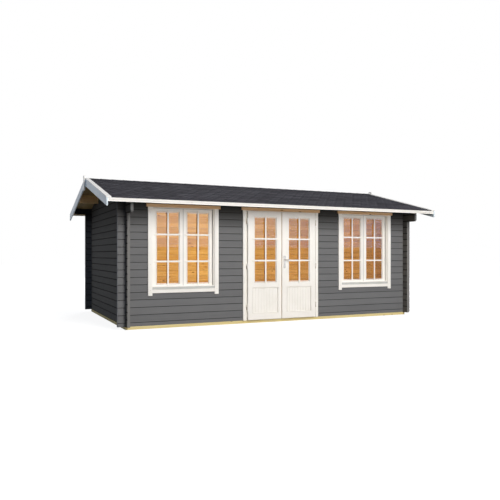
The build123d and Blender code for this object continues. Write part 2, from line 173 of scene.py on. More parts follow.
def grain_of(tree, place, along):
    """Growth rings that run along axis 0, 1 or 2, and a mask of the knots among them.

    Rings are about 4 mm apart in planed softwood, drawn as streaks of 20 mm so that they show.
    """
    ring = 0.020
    ring_run = 0.5
    knot_radius = 0.014
    knots_apart = 0.10
    knots_apart_along = 0.30
    stretch = [1 / ring] * 3
    stretch[along] = 1 / ring_run
    rings_at = add(tree, "ShaderNodeMapping", {"Vector": place, "Scale": stretch})
    texture = {"Vector": rings_at, "Scale": 1.0, "Detail": 4.0, "Roughness": 0.62, "Distortion": 0.7}
    rings = add(tree, "ShaderNodeTexNoise", texture)
    cells = [1 / knots_apart] * 3
    cells[along] = 1 / knots_apart_along
    knots_at = add(tree, "ShaderNodeMapping", {"Vector": place, "Scale": cells})
    knots = add(tree, "ShaderNodeTexVoronoi", {"Vector": knots_at, "Scale": 1.0, "Randomness": 1.0})
    rim = knot_radius / knots_apart
    inside = {"Value": knots, "From Min": rim * 0.5, "From Max": rim, "To Min": 1.0, "To Max": 0.0}
    return rings, add(tree, "ShaderNodeMapRange", inside)


def by_board(tree, place, across, width, start, spread):
    """Count boards of that width along a socket; each gets its own chance and its own place in the grain."""
    counted = {0: across, 1: 1 / width, 2: -start / width}
    counted = add(tree, "ShaderNodeMath", counted, operation="MULTIPLY_ADD")
    number = add(tree, "ShaderNodeMath", {0: counted}, operation="FLOOR")
    chance = add(tree, "ShaderNodeTexWhiteNoise", {"W": number}, noise_dimensions="1D")
    shift = {0: chance.outputs["Color"], "Scale": spread}
    shift = add(tree, "ShaderNodeVectorMath", shift, operation="SCALE")
    return counted, chance, add(tree, "ShaderNodeVectorMath", {0: place, 1: shift}, operation="ADD")


def finish_coat(tree, tint, texture, relief, depth, dull, gloss):
    """End a material in a coat whose relief and roughness, between two values, follow a texture."""
    bump = add(tree, "ShaderNodeBump", {"Strength": relief, "Distance": depth, "Height": texture})
    sheen = add(tree, "ShaderNodeMapRange", {"Value": texture, "To Min": dull[0], "To Max": dull[1]})
    coat = add(tree, "ShaderNodeBsdfPrincipled", {
        "Base Color": tint, "Roughness": sheen, "Specular IOR Level": gloss, "Normal": bump,
    })
    add(tree, "ShaderNodeOutputMaterial", {"Surface": coat})


def timber(name, pale, dark, along, board=None, rough=0.62, sawn=0.15):
    """A bare softwood finish whose grain runs along axis 0, 1 or 2.

    board is (axis across the boards, their width in metres, where the first one starts): each board
    then gets its own tone and its own run of grain.
    """
    material, tree = new_material(name)
    place = add(tree, "ShaderNodeTexCoord").outputs["Object"]
    tone = 0.5
    if board:
        axis, width, start = board
        parts = add(tree, "ShaderNodeSeparateXYZ", {0: place})
        tone, place = by_board(tree, place, parts.outputs[axis], width, start, 9.0)[1:]
    rings, knots = grain_of(tree, place, along)
    mixed = add(tree, "ShaderNodeMath", {0: rings, 1: 0.72}, operation="MULTIPLY")
    toned = add(tree, "ShaderNodeMath", {0: tone, 1: 0.34, 2: mixed}, operation="MULTIPLY_ADD")
    tint = add(tree, "ShaderNodeValToRGB", {"Fac": toned}, stops=((0.30, dark), (0.72, pale)))
    knotted = add(tree, "ShaderNodeMix", {0: knots, 6: tint, 7: colour("#6B3F1E")}, data_type="RGBA")
    finish_coat(tree, knotted, rings, sawn, 0.001, (rough - 0.08, rough + 0.12), 0.3)
    return material


def finish_node(node, material):
    """Give a carried-over CAD node its finish."""
    nodes[node].data.materials.clear()
    nodes[node].data.materials.append(material)


finish_node("base_frame", timber("pressure_treated_pine_sawn", "#E9DBA4", "#D0B878", 0, rough=0.8, sawn=0.4))

# ------------------------------------------------------------------ floor boards
# Planed spruce boards 88 mm wide, tongued together with a fine bevel on each edge and nailed across
# the joists. Beside the doorway, two short pieces close the strip in front of the first board.


def mesh_of(shape, name):
    """The mesh of a finished bmesh, which is freed."""
    mesh = bpy.data.meshes.new(name)
    shape.to_mesh(mesh)
    shape.free()
    return mesh


def solid(name, points, faces):
    """A closed solid with its faces turned outwards."""
    shape = bmesh.new()
    corners = [shape.verts.new(point) for point in points]
    for face in faces:
        shape.faces.new([corners[i] for i in face])
    bmesh.ops.recalc_face_normals(shape, faces=shape.faces)
    return mesh_of(shape, name)


def loft(name, rings):
    """A closed solid through rings of points."""
    count = len(rings[0])
    last = (len(rings) - 1) * count
    faces = [list(range(count)), list(range(last, last + count))]
    for start in range(0, last, count):
        for i in range(count):
            j = (i + 1) % count
            faces.append((start + i, start + j, start + count + j, start + count + i))
    return solid(name, [point for ring in rings for point in ring], faces)


def rows_tree():
    """Geometry Nodes that lay copies of a piece in rows, every other row shifted."""
    tree = bpy.data.node_groups.new("rows_of_pieces", "GeometryNodeTree")
    sockets = [
        ("Piece", "Geometry"), ("Across", "Int"), ("Across Step", "Vector"), ("Rows", "Int"),
        ("Row Step", "Vector"), ("Odd Row Shift", "Vector"), ("Wander", "Vector"), ("Seed", "Int"),
        ("Finish", "Material"),
    ]
    for name, kind in sockets:
        tree.interface.new_socket(name=name, in_out="INPUT", socket_type=f"NodeSocket{kind}")
    tree.interface.new_socket(name="Rows of Pieces", in_out="OUTPUT", socket_type="NodeSocketGeometry")
    given = add(tree, "NodeGroupInput").outputs
    number = add(tree, "GeometryNodeInputIndex")
    row = add(tree, "ShaderNodeMath", {0: number, 1: given["Across"]}, operation="DIVIDE")
    row = add(tree, "ShaderNodeMath", {0: row}, operation="FLOOR")
    column = add(tree, "ShaderNodeMath", {0: number, 1: given["Across"]}, operation="MODULO")
    odd = add(tree, "ShaderNodeMath", {0: row, 1: 2.0}, operation="MODULO")
    along_row = {0: given["Across Step"], "Scale": column}
    place = add(tree, "ShaderNodeVectorMath", along_row, operation="SCALE")
    for step, times in ((given["Row Step"], row), (given["Odd Row Shift"], odd)):
        moved = add(tree, "ShaderNodeVectorMath", {0: step, "Scale": times}, operation="SCALE")
        place = add(tree, "ShaderNodeVectorMath", {0: place, 1: moved}, operation="ADD")
    back = add(tree, "ShaderNodeVectorMath", {0: given["Wander"], "Scale": -1.0}, operation="SCALE")
    chance = add(tree, "FunctionNodeRandomValue", {"Seed": given["Seed"]}, data_type="FLOAT_VECTOR")
    tree.links.new(back.outputs[0], chance.inputs[0])
    tree.links.new(given["Wander"], chance.inputs[1])
    place = add(tree, "ShaderNodeVectorMath", {0: place, 1: chance}, operation="ADD")
    total = add(tree, "ShaderNodeMath", {0: given["Across"], 1: given["Rows"]}, operation="MULTIPLY")
    points = add(tree, "GeometryNodePoints", {"Count": total})
    laid = add(tree, "GeometryNodeSetPosition", {"Geometry": points, "Position": place})
    copies = add(tree, "GeometryNodeInstanceOnPoints", {"Points": laid, "Instance": given["Piece"]})
    real = add(tree, "GeometryNodeRealizeInstances", {"Geometry": copies})
    finished = add(tree, "GeometryNodeSetMaterial", {"Geometry": real, "Material": given["Finish"]})
    add(tree, "NodeGroupOutput", {0: finished})
    return tree


pieces_in_rows = rows_tree()


def lay(mesh, finish, across, across_step, rows=1, row_step=(0, 0, 0), odd=(0, 0, 0), wander=(0, 0, 0)):
    """The mesh of one piece repeated in rows, as one plain mesh."""
    model = bpy.data.objects.new("model", mesh)
    bpy.context.scene.collection.objects.link(model)
    modifier = model.modifiers.new("rows", "NODES")
    modifier.node_group = pieces_in_rows
    values = {
        "Across": across, "Across Step": across_step, "Rows": rows, "Row Step": row_step,
        "Odd Row Shift": odd, "Wander": wander, "Seed": 7, "Finish": finish,
    }
    for socket in pieces_in_rows.interface.items_tree:
        if socket.name in values:
            modifier[socket.identifier] = values[socket.name]
    bpy.context.view_layer.update()
    laid = bpy.data.meshes.new_from_object(model.evaluated_get(bpy.context.evaluated_depsgraph_get()))
    bpy.data.objects.remove(model)
    return laid


def timbers(name, spans, bevel=0.0015):
    """A mesh of squared timbers given by their (x, y, z) spans, with their edges eased."""
    shape = bmesh.new()
    for x, y, z in spans:
        size = Matrix.Diagonal((x[1] - x[0], y[1] - y[0], z[1] - z[0], 1.0))
        middle = Matrix.Translation(((x[0] + x[1]) / 2, (y[0] + y[1]) / 2, (z[0] + z[1]) / 2))
        bmesh.ops.create_cube(shape, size=1.0, matrix=middle @ size)
    bmesh.ops.bevel(shape, geom=shape.edges[:], offset=bevel, segments=1, affect="EDGES")
    return mesh_of(shape, name)


def fit(name, meshes, material, body, stands_for=()):
    """Put a finished piece, made of one or more meshes, in the scene on its CAD body."""
    shape = bmesh.new()
    for mesh in meshes:
        shape.from_mesh(mesh)
    mesh = mesh_of(shape, name)
    mesh.materials.append(material)
    for face in mesh.polygons:
        face.material_index = 0
    made = bpy.data.objects.new(name, mesh)
    bpy.context.scene.collection.objects.link(made)
    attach(made, body)
    if stands_for:
        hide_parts(*stands_for)


floor_low, floor_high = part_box("floor_boards")
door_frame_half, frame_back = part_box("door_frame")[1][:2]
frame_gap = 0.002
board_edge = 0.002
board_joint = 0.0006
floor_count = 36
floor_start = frame_back + frame_gap
floor_board = (floor_high[1] - floor_start) / floor_count


def board_across(width, thickness, bevel_top):
    """Outline across one board as (width, height) points, with both visible edges eased."""
    low, high = board_joint, width - board_joint
    outline = [
        (low, 0), (high, 0), (high, thickness - board_edge), (high - board_edge, thickness),
        (low + board_edge, thickness), (low, thickness - board_edge),
    ]
    return outline if bevel_top else [(x, thickness - z) for x, z in outline]


across = board_across(floor_board, floor_high[2] - floor_low[2], True)
one_board = loft("floor_board", [
    [(x, floor_start + y, floor_low[2] + z) for y, z in across] for x in (floor_low[0], floor_high[0])
])
floor_pine = timber("spruce_floor_planed", "#DDB987", "#C2935A", 0, board=(1, floor_board, floor_start))
boards = lay(one_board, floor_pine, floor_count, (0, floor_board, 0))
closers = timbers("floor_closers", [
    (span, (floor_low[1], floor_start - board_joint), (floor_low[2], floor_high[2]))
    for span in ((floor_low[0], -door_frame_half - frame_gap), (door_frame_half + frame_gap, floor_high[0]))
])
fit("floor", [boards, closers], floor_pine, "cabin", ["floor_boards"])

# ------------------------------------------------------------------ log walls
# Spruce logs 44 by 121 mm, machined with a tongue and a V joint and crossed at the corners. They are
# painted outside in a flat grey wood paint that lets the grain stand, and left bare in the room.
wall_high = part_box("base_frame")[1]
log_middle = 0.022
log_height = 0.1215
log_first = 0.05
eave_height = 2.04


def log_finish(name, along, half_course, paint_dark, paint_pale, eave_shade, joint_half):
    """Grey paint outside and bare spruce inside, for logs that run along axis 0 or 1.

    eave_shade is the height where the painted shade of the eave starts, and the share of the paint's tone
    that is left at the eave. joint_half is half of the width at which a V joint is drawn.
    """
    material, tree = new_material(name)
    place = add(tree, "ShaderNodeTexCoord").outputs["Object"]
    parts = add(tree, "ShaderNodeSeparateXYZ", {0: place})
    start = log_first - half_course * log_height
    course, chance, place = by_board(tree, place, parts.outputs[2], log_height, start, 11.0)
    rings, knots = grain_of(tree, place, along)
    cloud = add(tree, "ShaderNodeTexNoise", {"Vector": place, "Scale": 3.0, "Detail": 3.0})
    painted = add(tree, "ShaderNodeMath", {0: rings, 1: 0.5}, operation="MULTIPLY")
    for tone, share in ((cloud, 0.3), (chance, 0.2)):
        painted = add(tree, "ShaderNodeMath", {0: tone, 1: share, 2: painted}, operation="MULTIPLY_ADD")
    paint = add(tree, "ShaderNodeValToRGB", {"Fac": painted}, stops=((0.3, paint_dark), (0.7, paint_pale)))
    wood = add(tree, "ShaderNodeMath", {0: chance, 1: 0.25, 2: rings}, operation="MULTIPLY_ADD")
    bare = add(tree, "ShaderNodeValToRGB", {"Fac": wood}, stops=((0.38, "#CC8E34"), (0.82, "#F0C46C")))
    bare = add(tree, "ShaderNodeMix", {0: knots, 6: bare, 7: colour("#9A5C22")}, data_type="RGBA")
    within = 1.0
    for socket, limit in ((0, wall_high[0] - log_middle), (1, wall_high[1] - log_middle)):
        distance = add(tree, "ShaderNodeMath", {0: parts.outputs[socket]}, operation="ABSOLUTE")
        inside = add(tree, "ShaderNodeMath", {0: distance, 1: limit}, operation="LESS_THAN")
        within = add(tree, "ShaderNodeMath", {0: inside, 1: within}, operation="MULTIPLY")
    # The paint is drawn darker towards the eave: painted shade for the eave's shadow.
    painted_eave_shadow = add(tree, "ShaderNodeMapRange", {
        "Value": parts.outputs[2], "From Min": eave_shade[0], "From Max": eave_height,
        "To Min": 1.0, "To Max": eave_shade[1],
    })
    paint = add(tree, "ShaderNodeMix", {0: painted_eave_shadow, 6: colour("#1E1E1E"), 7: paint}, data_type="RGBA")
    # End faces, found by their normal, get a paler paint as painted light, and their joints are drawn fainter
    # there.
    facing = add(tree, "ShaderNodeNewGeometry").outputs["True Normal"]
    facing = add(tree, "ShaderNodeSeparateXYZ", {0: facing})
    facing = add(tree, "ShaderNodeMath", {0: facing.outputs[along]}, operation="ABSOLUTE")
    ends = add(tree, "ShaderNodeMath", {0: facing, 1: 0.7}, operation="GREATER_THAN")
    painted_light_on_ends = add(tree, "ShaderNodeMath", {0: ends, 1: 0.18}, operation="MULTIPLY")
    paint = add(tree, "ShaderNodeMix", {0: painted_light_on_ends, 6: paint, 7: colour("#B0B3BA")}, data_type="RGBA")
    surface = add(tree, "ShaderNodeMix", {0: within, 6: paint, 7: bare}, data_type="RGBA")
    # Each V joint is drawn darker and duller: paint and dust lie thicker there, and the shade in the groove
    # is painted in as well. It is drawn wider on the gables than it is cut, so that it shows there too. The
    # bare joints of the room are cleaner.
    nearest = add(tree, "ShaderNodeMath", {0: course, 1: 0.5}, operation="PINGPONG")
    joint_dust_and_shade = {"Value": nearest, "From Max": joint_half / log_height, "To Min": 0.1, "To Max": 1.0}
    shade = add(tree, "ShaderNodeMapRange", joint_dust_and_shade)
    for cleaner, share in ((ends, 0.7), (within, 0.4)):
        lift = {0: cleaner, 1: share, 2: shade}
        shade = add(tree, "ShaderNodeMath", lift, operation="MULTIPLY_ADD", use_clamp=True)
    surface = add(tree, "ShaderNodeMix", {0: shade, 6: colour("#16130F"), 7: surface}, data_type="RGBA")
    gloss = add(tree, "ShaderNodeMath", {0: shade, 1: 0.03}, operation="MULTIPLY")
    finish_coat(tree, surface, rings, 0.12, 0.001, (0.78, 0.95), gloss)
    return material


long_logs = log_finish(
    "grey_wood_paint_on_spruce_long_walls", 0, 0.5, "#6B6C6E", "#757678", (1.62, 0.14), 0.007)
# The gable paint is a touch darker than the long walls' paint, as painted shade for the gable sides.
gable_logs = log_finish(
    "grey_wood_paint_on_spruce_gables", 1, 0.0, "#696762", "#73706B", (1.45, 0.30), 0.013)
for node in ("front_wall_left", "front_wall_right", "front_top_logs", "rear_wall", "rear_top_logs"):
    finish_node(node, long_logs)
for node in ("left_gable_wall", "right_gable_wall"):
    finish_node(node, gable_logs)

# ------------------------------------------------------------------ purlins and roof boards
# Three planed spruce beams carry 19 mm boards, 88 mm wide, tongued with a V joint that shows
# underneath. All of it is bare, because it comes out of the weather.
roof_slope = 0.256
plumb = math.sqrt(1 + roof_slope ** 2)
# The beams are drawn in a paler spruce than the other bare timber, as painted light under the roof.
beam_pine_painted_light = timber("spruce_beam_planed", "#FFD89C", "#E9B674", 0)
for node in ("ridge_purlin", "front_purlin", "rear_purlin"):
    finish_node(node, beam_pine_painted_light)

roof_low, roof_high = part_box("rear_roof_boards")
roof_count = 72
roof_thick = 0.019
ridge_gap = 0.0005
roof_board = (roof_high[0] - roof_low[0]) / roof_count
board_under_ridge = roof_high[2] - roof_thick * plumb
# The roof boards are drawn in a darker, greener spruce, as painted shade under the roof.
roof_pine_painted_shade = timber("spruce_roof_board_planed", "#A38A5C", "#78623A", 1, board=(0, roof_board, roof_low[0]))
across = board_across(roof_board, roof_thick, False)
for side, word in ((-1, "front"), (1, "rear")):
    eave_z = board_under_ridge - roof_slope * roof_high[1]
    ends = [(side * ridge_gap, board_under_ridge), (side * roof_high[1], eave_z)]
    one_board = loft("roof_board", [
        [(roof_low[0] + x, y, z + n * plumb) for x, n in across] for y, z in ends
    ])
    boards = lay(one_board, roof_pine_painted_shade, roof_count, (roof_board, 0, 0))
    fit(f"{word}_boarding", [boards], roof_pine_painted_shade, "cabin", [f"{word}_roof_boards"])

# ------------------------------------------------------------------ shingles
# Bitumen felt shingles with a mineral face: strips of rounded tabs 200 mm wide, 144 mm of each course
# showing, over a straight starter strip. The tabs of one course cover the slots of the one below.
tab = 0.200
slot = 0.005
exposure = 0.1435
felt = 0.0034
felt_thin = 0.0007        # the least that is left where felt tapers away
felt_seat = 0.0002        # a hair of air under each piece
tab_round = 0.075
tab_run_on = 0.004        # how far a tab runs on under the second course above it
tab_wander = 0.0008
starter_lap = 0.05
starter_inset = 0.001
slope_cos = 1 / plumb
slope_sin = roof_slope / plumb
shingle_low, shingle_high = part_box("front_shingles")
shingle_reach = -shingle_low[1]
deck_z = roof_high[2]     # top of the boards at the ridge


def on_roof(side, x, up, lift):
    """A point on one side of the roof: up the slope from the eave, and lifted off the boards."""
    y = -shingle_reach + up * slope_cos - lift * slope_sin
    z = deck_z - roof_slope * shingle_reach + up * slope_sin + lift * slope_cos
    return (side * x, side * y, z)


def felt_piece(name, outline, top):
    """One piece of felt: outline up to the next course, then a tapering part under it, up to top."""
    left, right = outline[0][0], outline[-1][0]
    lower = outline + [(right, exposure), (left, exposure)]
    corners = lower + [(right, top), (left, top)]
    count = len(corners)
    low = [felt * max(0.0, 1 - up / exposure) + felt_seat for _, up in corners]
    thick = [max(felt_thin, min(felt, felt * (2 - up / exposure))) for _, up in corners]
    high = [a + b - 2 * felt_seat for a, b in zip(low, thick)]
    n = len(lower)
    faces = [list(range(n)), [n - 2, n, n + 1, n - 1]]
    faces += [[i + count for i in reversed(face)] for face in faces]
    rim = list(range(n - 1)) + [n, n + 1, n - 1]
    faces += [(a, b, b + count, a + count) for a, b in zip(rim, rim[1:] + rim[:1])]
    points = [(x, up, lift) for lifts in (low, high) for (x, up), lift in zip(corners, lifts)]
    return name, points, faces


def felt_mesh(side, piece):
    """The piece laid at the eave on one side of the roof."""
    name, points, faces = piece
    return solid(name, [on_roof(side, *point) for point in points], faces)


def trimmed(mesh, left, right, cuts=()):
    """The mesh cut off at a left and a right point, and at (point, outward direction) cuts, and closed."""
    shape = bmesh.new()
    shape.from_mesh(mesh)
    bmesh.ops.remove_doubles(shape, verts=shape.verts, dist=0.00001)
    for point, outward in [(right, (1, 0, 0)), (left, (-1, 0, 0)), *cuts]:
        everything = shape.verts[:] + shape.edges[:] + shape.faces[:]
        bmesh.ops.bisect_plane(shape, geom=everything, plane_co=point, plane_no=outward, clear_outer=True)
        open_edges = [edge for edge in shape.edges if edge.is_boundary]
        bmesh.ops.holes_fill(shape, edges=open_edges, sides=0)
    return mesh_of(shape, mesh.name)


half_tab = (tab - slot) / 2
tongue_steps = 12
tongue = []
for i in range(tongue_steps + 1):
    turn = math.pi + math.pi * i / tongue_steps
    tongue.append((half_tab * math.cos(turn), tab_round * (1 + math.sin(turn))))
tab_name, tab_points, tab_faces = felt_piece("shingle_tab", tongue, 2 * exposure + tab_run_on)
starter_name, starter_points, starter_faces = felt_piece(
    "starter_strip", [(-0.5, 0.0), (0.5, 0.0)], exposure + starter_lap)
# The starter lies flat on the boards, where a tab would rest on the course below.
starter_points = [
    (x, up, max(felt_seat, lift - felt * max(0.0, 1 - up / exposure))) for x, up, lift in starter_points
]

shingle_felt, tree = new_material("bitumen_shingle_mineral_granules")
# Ceramic-coated slate granules of 1 to 2 mm, drawn at 6 mm so that they show, over a dark felt. Each
# tab takes a slightly different shade, as granules from different batches do.
place = add(tree, "ShaderNodeTexCoord").outputs["Object"]
parts = add(tree, "ShaderNodeSeparateXYZ", {0: place})
deep = add(tree, "ShaderNodeMath", {0: parts.outputs[1]}, operation="ABSOLUTE")
row_at = {0: deep, 1: -plumb / exposure, 2: shingle_reach * plumb / exposure}
row_at = add(tree, "ShaderNodeMath", row_at, operation="MULTIPLY_ADD")
row = add(tree, "ShaderNodeMath", {0: row_at}, operation="FLOOR")
odd = add(tree, "ShaderNodeMath", {0: row, 1: 2.0}, operation="MODULO")
across_at = add(tree, "ShaderNodeMath", {0: parts, 1: 1 / tab, 2: 0.5}, operation="MULTIPLY_ADD")
across_at = add(tree, "ShaderNodeMath", {0: odd, 1: 0.5, 2: across_at}, operation="MULTIPLY_ADD")
which = add(tree, "ShaderNodeMath", {0: across_at}, operation="FLOOR")
both = add(tree, "ShaderNodeCombineXYZ", {0: which, 1: row})
batch = add(tree, "ShaderNodeTexWhiteNoise", {"Vector": both}, noise_dimensions="2D")
# Five tabs make one strip, and a strip starts anywhere along its row.
strip_at = add(tree, "ShaderNodeMath", {0: row, 1: 2.37, 2: which}, operation="MULTIPLY_ADD")
strip_at = add(tree, "ShaderNodeMath", {0: strip_at, 1: 5.0}, operation="DIVIDE")
strip_at = add(tree, "ShaderNodeMath", {0: strip_at}, operation="FLOOR")
strip = add(tree, "ShaderNodeCombineXYZ", {0: strip_at, 1: row})
strip = add(tree, "ShaderNodeTexWhiteNoise", {"Vector": strip}, noise_dimensions="2D")
grit = add(tree, "ShaderNodeTexNoise", {"Vector": place, "Scale": 1 / 0.006, "Detail": 2.0, "Roughness": 0.7})
washed = add(tree, "ShaderNodeTexNoise", {"Vector": place, "Scale": 2.5, "Detail": 3.0})
shade = grit
for tone, share in ((batch, 0.42), (strip, 0.34), (washed, 0.2)):
    shade = add(tree, "ShaderNodeMath", {0: tone, 1: share, 2: shade}, operation="MULTIPLY_ADD")
shade = add(tree, "ShaderNodeMath", {0: shade, 1: 0.60}, operation="MULTIPLY")
tint = add(tree, "ShaderNodeValToRGB", {"Fac": shade}, stops=((0.38, "#2D2B30"), (0.93, "#55535A")))
# The cut lower edge of a tab is bare bitumen and casts a fine shadow, drawn 18 mm to either side so that
# it shows.
turned = add(tree, "ShaderNodeMath", {0: across_at}, operation="FRACT")
offset = add(tree, "ShaderNodeMath", {0: turned, 1: 2.0, 2: -1.0}, operation="MULTIPLY_ADD")
square = add(tree, "ShaderNodeMath", {0: offset, 1: offset}, operation="MULTIPLY")
arch = add(tree, "ShaderNodeMath", {0: 1.0, 1: square}, operation="SUBTRACT")
arch = add(tree, "ShaderNodeMath", {0: arch}, operation="SQRT")
lowest = add(tree, "ShaderNodeMath", {0: arch, 1: -tab_round, 2: tab_round}, operation="MULTIPLY_ADD")
up_slope = add(tree, "ShaderNodeMath", {0: row_at, 1: row}, operation="SUBTRACT")
above = add(tree, "ShaderNodeMath", {0: up_slope, 1: exposure}, operation="MULTIPLY")
above = add(tree, "ShaderNodeMath", {0: above, 1: lowest}, operation="SUBTRACT")
above = add(tree, "ShaderNodeMath", {0: above}, operation="ABSOLUTE")
edge = {"Value": above, "From Min": 0.0, "From Max": 0.018, "To Min": 0.0, "To Max": 1.0}
clear = add(tree, "ShaderNodeMapRange", edge, interpolation_type="SMOOTHSTEP")
edged = add(tree, "ShaderNodeMix", {0: clear, 6: colour("#111114"), 7: tint}, data_type="RGBA")
finish_coat(tree, edged, grit, 0.5, 0.001, (0.96, 0.96), 0.05)

tabs_across = math.ceil((shingle_high[0] - shingle_low[0]) / tab) + 2
courses = math.ceil(shingle_reach * plumb / exposure)
first = -(tabs_across // 2) * tab
first_points = [(x + first, up, lift) for x, up, lift in tab_points]
strip_wide = shingle_high[0] - shingle_low[0] - 2 * starter_inset
strip_points = [(x * strip_wide, up, lift) for x, up, lift in starter_points]
for side, word in ((-1, "rear"), (1, "front")):
    one_tab = felt_mesh(side, (tab_name, first_points, tab_faces))
    rise = Vector(on_roof(side, 0, exposure, 0)) - Vector(on_roof(side, 0, 0, 0))
    laid = lay(
        one_tab, shingle_felt, tabs_across, (side * tab, 0, 0), courses, rise,
        odd=(side * tab / 2, 0, 0), wander=(tab_wander, 0, 0),
    )
    first_strip = felt_mesh(side, (starter_name, strip_points, starter_faces))
    covering = trimmed(laid, shingle_low, shingle_high, [((0, 0, 0), (0, side, 0))])
    fit(f"{word}_shingle_courses", [covering, first_strip], shingle_felt,
        "cabin", [f"{word}_shingles"])

# ------------------------------------------------------------------ ridge pieces
# Single shingles bent over the ridge and nailed, each lapping 50 mm over the one before it. The bend
# is rounded, because felt cracks on a sharp fold.
ridge_step = 0.205
ridge_lap = 0.05
ridge_half = 0.150
ridge_soft = 0.018
ridge_seat = 2 * felt
ridge_felt = felt - 2 * felt_seat
ridge_wander = 0.001


def ridge_ring(x, low, thick):
    """Outline across one ridge piece at x: its underside and then its top."""
    top = [(-ridge_half, 0), (-ridge_soft, 0), (0, -ridge_soft * 0.4), (ridge_soft, 0), (ridge_half, 0)]
    seat_z = deck_z + (ridge_seat + low) * plumb
    under = [(x, y, seat_z - roof_slope * abs(y) + dip * roof_slope) for y, dip in top]
    over = [(x, y, z + thick * plumb) for x, y, z in reversed(under)]
    return under + over


ridge_low, ridge_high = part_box("ridge_capping")
ridge_count = math.ceil((ridge_high[0] - ridge_low[0]) / ridge_step)
ridge_piece = loft("ridge_piece", [
    ridge_ring(ridge_low[0], felt, ridge_felt),
    ridge_ring(ridge_low[0] + ridge_step, felt_seat, ridge_felt),
    ridge_ring(ridge_low[0] + ridge_step + ridge_lap, felt_seat, ridge_felt * (1 - ridge_lap / ridge_step)),
])
pieces = lay(ridge_piece, shingle_felt, ridge_count, (ridge_step, 0, 0), wander=(ridge_wander, 0, 0))
pieces = trimmed(pieces, ridge_low, ridge_high)
fit("ridge_pieces", [pieces], shingle_felt, "cabin", ["ridge_capping"])

# ------------------------------------------------------------------ eave boards and bargeboards
# Planed spruce boards in white satin wood paint, screwed to the ends of the roof boards. The brush
# leaves faint streaks along each board and the grain shows a little through them.


def painted_timber(name, code, shade, along, gloss=0.25):
    """White satin paint brushed along axis 0, 1 or 2."""
    material, tree = new_material(name)
    place = add(tree, "ShaderNodeTexCoord").outputs["Object"]
    # Brush marks about 2 mm apart, drawn at 5 mm so that they show, and 0.4 m long.
    stretch = [1 / 0.005] * 3
    stretch[along] = 1 / 0.4
    brushed_at = add(tree, "ShaderNodeMapping", {"Vector": place, "Scale": stretch})
    streaks = {"Vector": brushed_at, "Scale": 1.0, "Detail": 3.0, "Roughness": 0.6}
    brushed = add(tree, "ShaderNodeTexNoise", streaks)
    cloud = add(tree, "ShaderNodeTexNoise", {"Vector": place, "Scale": 4.0, "Detail": 2.0})
    mixed = add(tree, "ShaderNodeMath", {0: brushed, 1: 0.5, 2: cloud}, operation="MULTIPLY_ADD")
    tint = add(tree, "ShaderNodeValToRGB", {"Fac": mixed}, stops=((0.45, shade), (0.85, code)))
    finish_coat(tree, tint, brushed, 0.1, 0.0005, (0.24, 0.4), gloss)
    return material


white_level, white_sloping, white_upright = [
    painted_timber(f"white_satin_paint_along_{word}", "#F5F2EC", "#EFECE5", axis)
    for axis, word in enumerate("xyz")
]
for node in ("front_eave_board", "rear_eave_board"):
    finish_node(node, white_level)
# The bargeboards' white is tinted blue, as painted light from the sky on their shaded sides.
barge_paint_with_sky_light = painted_timber("white_satin_paint_bargeboards", "#DCEAF2", "#D0E0EB", 1, gloss=0.15)
for side in ("left", "right"):
    finish_node(f"{side}_bargeboards", barge_paint_with_sky_light)
    finish_node(f"{side}_capping_boards", white_sloping)
finish_node("apex_boards", white_upright)

# ------------------------------------------------------------------ windows
# White painted frames, each with a pair of glazed sashes. The casing boards go over the joint with
# the logs, and bare head boards throw the rain off above them.
window_glass, tree = new_material("float_glass_clear")
# Drawn and polished flat, so it is seen through and mirrors the sky faintly. Lamps shine through it.
pane = add(tree, "ShaderNodeBsdfPrincipled", {
    "Base Color": colour("#FBFCFB"), "Roughness": 0.01, "IOR": 1.3, "Transmission Weight": 1.0,
})
shone_through = add(tree, "ShaderNodeBsdfTransparent", {"Color": colour("#F4F6F4")})
shadow = add(tree, "ShaderNodeLightPath").outputs["Is Shadow Ray"]
coat = add(tree, "ShaderNodeMixShader", {0: shadow, 1: pane, 2: shone_through})
add(tree, "ShaderNodeOutputMaterial", {"Surface": coat})
bar_pine = timber("spruce_glazing_bar_bare", "#EBA64E", "#C67C2A", 2)
seal_rubber_and_painted_shade, tree = new_material("epdm_rubber_seal_extruded")
# Extruded light grey rubber is matt, mottled a little by dust. Its grey also stands in as painted shade
# for the joints round the sashes.
place = add(tree, "ShaderNodeTexCoord").outputs["Object"]
dust = add(tree, "ShaderNodeTexNoise", {"Vector": place, "Scale": 1 / 0.02})
tint = add(tree, "ShaderNodeMix", {0: dust, 6: colour("#9C9C9A"), 7: colour("#B8B7B4")}, data_type="RGBA")
coat = {"Base Color": tint, "Roughness": 0.8, "Specular IOR Level": 0.3}
coat = add(tree, "ShaderNodeBsdfPrincipled", coat)
add(tree, "ShaderNodeOutputMaterial", {"Surface": coat})
# The drip mouldings are drawn light grey, as painted shade for the shadow under the sashes.
drip_painted_shade = painted_timber("light_grey_drip_moulding_painted_shade", "#C4C4C0", "#B8B8B3", 0)
for side in ("left", "right"):
    finish_node(f"{side}_window_frame", white_level)
    finish_node(f"{side}_window_sashes", white_upright)
    finish_node(f"{side}_window_glass", window_glass)
    finish_node(f"{side}_window_casing", white_upright)
    finish_node(f"{side}_door_glass", window_glass)
finish_node("head_boards", timber("spruce_head_board_planed", "#EBC9A2", "#DBB083", 0))

